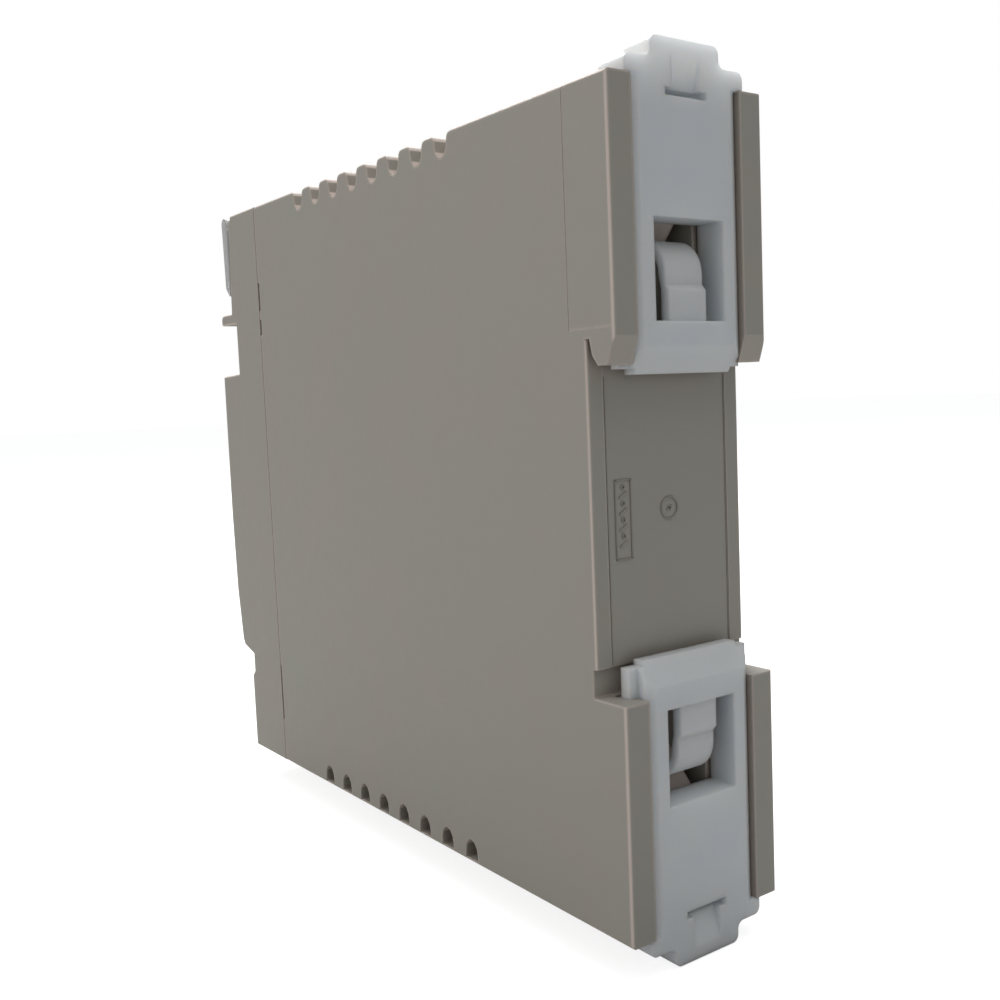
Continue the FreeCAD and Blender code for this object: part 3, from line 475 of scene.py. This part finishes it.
def make_materials():
    made = {
        "case_plastic": case_plastic(),
        "hook_nylon": hook_nylon(),
        "clear_plastic": clear_plastic(),
        "panel_print": panel_print(),
        "label_film": label_film(),
        "board_laminate": board_laminate(),
        "winding_tape": winding_tape(),
        "core_steel": core_steel(),
        "fuse_glass": fuse_glass(),
        "dial_plastic": moulded("dial_plastic", (0.72, 0.71, 0.66), (0.66, 0.655, 0.61)),
        "trimmer_plastic": moulded("trimmer_plastic", (0.04, 0.12, 0.36), (0.03, 0.09, 0.29), (0.25, 0.35)),
        "switch_body": moulded("switch_body", (0.42, 0.035, 0.03), (0.34, 0.03, 0.028)),
        "switch_lever": moulded("switch_lever", (0.80, 0.79, 0.76), (0.74, 0.735, 0.71)),
        "black_plastic": moulded("black_plastic", (0.022, 0.022, 0.024), (0.032, 0.031, 0.03)),
        "relay_case": moulded("relay_case", (0.03, 0.045, 0.055), (0.04, 0.055, 0.065), (0.15, 0.28)),
        "capacitor_sleeve": moulded(
            "capacitor_sleeve", (0.02, 0.03, 0.07), (0.03, 0.04, 0.09), (0.12, 0.25)
        ),
        "film_case": moulded("film_case", (0.60, 0.50, 0.10), (0.54, 0.45, 0.09)),
        "ceramic_coat": moulded("ceramic_coat", (0.06, 0.16, 0.42), (0.05, 0.13, 0.36), (0.2, 0.32)),
        "screw_steel": metal("screw_steel", (0.66, 0.66, 0.65), (0.52, 0.52, 0.50), (0.16, 0.32)),
        "washer_steel": metal(
            "washer_steel", (0.60, 0.60, 0.59), (0.50, 0.50, 0.49), (0.25, 0.42), (1, 1, 8)
        ),
        "contact_brass": metal(
            "contact_brass", (0.74, 0.60, 0.34), (0.62, 0.48, 0.26), (0.22, 0.4), (6, 1, 1)
        ),
        "crystal_can": metal("crystal_can", (0.70, 0.71, 0.72), (0.6, 0.61, 0.62), (0.18, 0.3), (1, 1, 6)),
    }
    made.update({name: lamp_lens(name, *tones) for name, tones in LAMP_COLOURS.items()})
    return made


# ---------------------------------------------------------------- the frame's own nodes
BEVELLED = (
    "washers", "strips", "board", "header", "chip", "microcontroller", "optocoupler",
    "trimmer", "lever", "resistor", "capacitor", "varistor", "core", "winding", "screws",
)


def dress_nodes(materials):
    """Gives every node its finish, and the plain-edged small ones a fine real bevel."""
    for name, thing in NODES.items():
        material = materials.get(name) or materials[SLOT_OF[name]]
        thing.data.materials.clear()
        thing.data.materials.append(material)
        if any(word in name for word in BEVELLED):
            bevel_node(thing, 0.1 * MM)


def bevel_node(thing, width):
    weld = thing.modifiers.new("weld", "WELD")
    weld.merge_threshold = 0.5e-6
    bevel = thing.modifiers.new("bevel", "BEVEL")
    bevel.width = width
    bevel.segments = 2
    bevel.limit_method = "ANGLE"
    bevel.angle_limit = math.radians(40)


# ---------------------------------------------------------------- small added pieces
class Relief:
    """Thin raised shapes on a flat face, gathered into one mesh.

    A face is given by its origin and by its across, up and outward directions.
    """

    def __init__(self, name, origin, across, up, out):
        self.name = name
        self.bm = bmesh.new()
        self.origin = Vector(origin)
        self.axes = (Vector(across), Vector(up), Vector(out))

    def at(self, u, v, w):
        across, up, out = self.axes
        return self.origin + across * u + up * v + out * w

    def prism(self, points, height, sink=0.0):
        """A flat shape of (u, v) points, raised to a height."""
        low = [self.bm.verts.new(self.at(u, v, -sink)) for u, v in points]
        high = [self.bm.verts.new(self.at(u, v, height)) for u, v in points]
        count = len(points)
        self.bm.faces.new(high)
        self.bm.faces.new(list(reversed(low)))
        for i in range(count):
            j = (i + 1) % count
            self.bm.faces.new((low[i], low[j], high[j], high[i]))

    def bar(self, centre, length, width, angle, height, sink=0.0):
        """A straight bar with rounded ends, at an angle from the across direction."""
        half, radius = length / 2 - width / 2, width / 2
        points = []
        for end in (1, -1):
            for step in range(5):
                turn = math.pi * (step / 4 - 0.5) + (0 if end > 0 else math.pi)
                points.append((end * half + radius * math.cos(turn), radius * math.sin(turn)))
        c, s = math.cos(angle), math.sin(angle)
        placed = [(centre[0] + u * c - v * s, centre[1] + u * s + v * c) for u, v in points]
        self.prism(placed, height, sink)

    def ring(self, centre, inner, outer, height, sink=0.0, steps=40, span=(0.0, 2 * math.pi)):
        """A flat ring, or part of one, of short pieces that share their edges."""
        closed = abs(span[1] - span[0] - 2 * math.pi) < 1e-6
        count = steps if closed else steps + 1
        loops = []
        for i in range(count):
            angle = span[0] + (span[1] - span[0]) * i / steps
            c, s = math.cos(angle), math.sin(angle)
            corners = ((inner, -sink), (outer, -sink), (outer, height), (inner, height))
            loops.append(
                [self.bm.verts.new(self.at(centre[0] + r * c, centre[1] + r * s, w)) for r, w in corners]
            )
        for i in range(steps):
            a, b = loops[i], loops[(i + 1) % count]
            for k in range(4):
                m = (k + 1) % 4
                self.bm.faces.new((a[k], a[m], b[m], b[k]))
        if not closed:
            self.bm.faces.new(loops[0])
            self.bm.faces.new(list(reversed(loops[-1])))

    def rim(self, centre, width, tall, line, height, sink=0.0):
        """The outline of an upright box."""
        u, v = centre
        for side in (-1, 1):
            self.bar((u, v + side * tall / 2), width + line, line, 0.0, height, sink)
            self.bar((u + side * width / 2, v), tall + line, line, math.pi / 2, height, sink)

    def number(self, text, centre, size, height):
        """A figure or number centred at a point."""
        curve = bpy.data.curves.new("figure", "FONT")
        curve.body = text
        curve.size = size
        curve.align_x = "CENTER"
        curve.align_y = "CENTER"
        curve.resolution_u = 3
        curve.extrude = height / 2
        thing = bpy.data.objects.new("figure", curve)
        link(thing)
        bpy.context.view_layer.update()
        mesh = bpy.data.meshes.new_from_object(thing.evaluated_get(bpy.context.evaluated_depsgraph_get()))
        bpy.data.objects.remove(thing)
        for vertex in mesh.vertices:
            x, y, z = vertex.co
            vertex.co = self.at(centre[0] + x, centre[1] + y, z + height / 2)
        self.bm.from_mesh(mesh)
        bpy.data.meshes.remove(mesh)

    def finish(self, body, slot, material):
        bmesh.ops.remove_doubles(self.bm, verts=self.bm.verts, dist=1e-7)
        bmesh.ops.recalc_face_normals(self.bm, faces=self.bm.faces)
        mesh = bpy.data.meshes.new(self.name)
        self.bm.to_mesh(mesh)
        self.bm.free()
        mesh.materials.append(material)
        thing = link(bpy.data.objects.new(self.name, mesh))
        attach(thing, body)
        return thing


RIGHT_HAND = {"across": (-1, 0, 0), "up": (0, 0, 1), "out": (0, 1, 0)}
FRONT = {"across": (1, 0, 0), "up": (0, 0, 1), "out": (0, -1, 0)}
FAR_SIDE = {"across": (0, -1, 0), "up": (0, 0, 1), "out": (-1, 0, 0)}
MARK_HEIGHT = -0.9 * MM
MARK_SINK = 0.05 * MM
INK_HEIGHT = 0.02 * MM
INK_SINK = 0.01 * MM
SCREW_HEAD = 5.4 * MM
DIAL_PLACES = ("upper", "middle", "lower")
SCALE_START = 225
SCALE_STEP = 27


def add_recess_marks(material):
    """The round ejector mark and the framed, unlettered mould mark on the recess floor."""
    pin = Relief("recess_ejector_mark", (0, 0, MARK_HEIGHT), **RIGHT_HAND)
    pin.ring((0, 0), 1.12 * MM, 1.28 * MM, 0.07 * MM, MARK_SINK)
    pin.bar((0, 0), 0.95 * MM, 0.18 * MM, 0.5, 0.06 * MM, MARK_SINK)
    pin.bar((0, 0), 0.55 * MM, 0.18 * MM, 2.1, 0.06 * MM, MARK_SINK)
    pin.finish("housing", "case_plastic", material)
    mark = Relief("recess_mould_mark", (6.75 * MM, 0, MARK_HEIGHT - 0.7 * MM), **RIGHT_HAND)
    mark.rim((0, 0), 2.2 * MM, 8.5 * MM, 0.14 * MM, 0.06 * MM, MARK_SINK)
    for step in (-1.5, -0.5, 0.5, 1.5):
        level = step * 1.75 * MM
        mark.bar((0, level), 1.3 * MM, 0.2 * MM, 0.5, 0.06 * MM, MARK_SINK)
        mark.ring((0, level + 0.85 * MM), 0.16 * MM, 0.3 * MM, 0.05 * MM, MARK_SINK, 16)
    mark.finish("housing", "case_plastic", material)


def add_recess_lines(material):
    """Faint upright mould lines near both edges of the recess floor."""
    low, high = -17.0 * MM, 13.6 * MM
    for side, name in ((1, "near"), (-1, "far")):
        line = Relief(f"recess_mould_line_{name}", (side * 8.9 * MM, 0, 0), **RIGHT_HAND)
        middle = (0, (low + high) / 2)
        line.bar(middle, high - low, 0.1 * MM, math.pi / 2, 0.02 * MM, MARK_SINK)
        line.finish("housing", "case_plastic", material)


def add_dial_scales(ink):
    """Ticks and the even numbers from 0 to 10 around each dial."""
    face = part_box("panel_sheet")[0].y
    for place in DIAL_PLACES:
        low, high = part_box(f"{place}_dial_knob")
        centre = ((low.x + high.x) / 2, face, (low.z + high.z) / 2)
        scale = Relief(f"{place}_dial_scale", centre, **FRONT)
        for step in range(11):
            angle = math.radians(SCALE_START - SCALE_STEP * step)
            long = step % 5 == 0
            reach = (4.15 if long else 4.0) * MM
            spot = (reach * math.cos(angle), reach * math.sin(angle))
            length = (0.95 if long else 0.6) * MM
            scale.bar(spot, length, 0.14 * MM, angle, INK_HEIGHT, INK_SINK)
        for step in range(0, 11, 2):
            angle = math.radians(SCALE_START - SCALE_STEP * step)
            spot = (5.75 * MM * math.cos(angle), 5.3 * MM * math.sin(angle))
            scale.number(str(step), spot, 1.5 * MM, INK_HEIGHT)
        scale.finish("housing", "panel_print", ink)


def add_dial_pointers(ink):
    """A dark wedge on each dial's rim shows where it is set."""
    for place in DIAL_PLACES:
        low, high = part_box(f"{place}_dial_knob")
        centre = ((low.x + high.x) / 2, low.y, (low.z + high.z) / 2)
        wedge = Relief(f"{place}_dial_pointer", centre, **FRONT)
        corners = [(0.0, 2.85 * MM), (-0.32 * MM, 2.32 * MM), (0.32 * MM, 2.32 * MM)]
        wedge.prism(corners, INK_HEIGHT, 0.03 * MM)
        wedge.finish(f"{place}_dial", "dial_plastic", ink)


def add_panel_rules(ink):
    """Rules between the dial fields and a small plain mark under each lamp."""
    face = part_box("panel_sheet")[0].y
    rules = Relief("panel_rules", (0, face, 0), **FRONT)
    width = 17.6 * MM
    for height in (10.9, -0.4, -11.4):
        rules.bar((0, height * MM), width, 0.16 * MM, 0.0, INK_HEIGHT, INK_SINK)
    for lamp in LAMP_COLOURS:
        low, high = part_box(lamp)
        under = ((low.x + high.x) / 2, low.z - 0.75 * MM)
        rules.bar(under, 2.4 * MM, 0.32 * MM, 0.0, INK_HEIGHT, INK_SINK)
    rules.finish("housing", "panel_print", ink)


def add_terminal_numbers(ink):
    """The numbers 1 to 9 beside the terminals, on the cover's face."""
    rows = (("upper", 1), ("middle", 4), ("lower", 7))
    for row, first in rows:
        low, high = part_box(f"{row}_terminal_screws")
        pitch = (high.x - low.x - SCREW_HEAD) / 2
        level, face, size = number_place(row, low, high)
        plate = Relief(f"{row}_terminal_numbers", (0, face, level), **FRONT)
        for step in range(3):
            plate.number(str(first + step), ((step - 1) * pitch, 0), size, INK_HEIGHT)
        plate.finish("housing", "case_plastic", ink)


def number_place(row, low, high):
    """The height, the depth and the size of a row's numbers: next to the cells."""
    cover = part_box("front_cover")
    if row == "upper":
        return high.z + 2.45 * MM, cover[0].y + 5.05 * MM, 1.5 * MM
    if row == "middle":
        return low.z - 1.45 * MM, cover[0].y + 6.9 * MM, 1.1 * MM
    return high.z + 2.0 * MM, cover[0].y + 6.2 * MM, 1.2 * MM


def add_label_print(ink):
    """Empty boxes and rules on the side label, with no lettering."""
    low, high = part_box("side_label")
    centre = (low.x, (low.y + high.y) / 2, (low.z + high.z) / 2)
    wide, tall = high.y - low.y, high.z - low.z
    sheet = Relief("side_label_print", centre, **FAR_SIDE)
    raised, sunk, line = 0.015 * MM, 0.01 * MM, 0.25 * MM
    sheet.rim((0, 0), wide - 3 * MM, tall - 3 * MM, line, raised, sunk)
    for step in range(6):
        level = tall * (0.30 - 0.075 * step)
        sheet.bar((-wide * 0.2, level), wide * 0.42, line, 0.0, raised, sunk)
    for column in range(3):
        for row in range(3):
            spot = (wide * (0.13 + 0.12 * column), tall * (0.26 - 0.17 * row))
            sheet.rim(spot, 5 * MM, 5 * MM, line, raised, sunk)
            sheet.ring(spot, 0.9 * MM, 1.15 * MM, raised, sunk, 24)
    sheet.bar((0, -tall * 0.3), wide * 0.86, line, 0.0, raised, sunk)
    sheet.finish("housing", "label_film", ink)


bpy.context.scene.view_settings.view_transform = "Standard"
make_camera()
make_world(WORLD_LIGHT, WORLD_SEEN)
for softbox in SOFTBOXES:
    make_softbox(*softbox)
make_floor()
MATERIALS = make_materials()
dress_nodes(MATERIALS)
INK = print_ink()
DARK_INK = label_ink()
# The marks' case material has no painted shade in hollows and a fainter painted edge highlight.
MARKS = case_plastic("case_plastic_marks", 0.0, 0.22)
add_recess_marks(MARKS)
add_recess_lines(MARKS)
add_dial_scales(INK)
add_dial_pointers(DARK_INK)
add_panel_rules(INK)
add_terminal_numbers(DARK_INK)
add_label_print(DARK_INK)
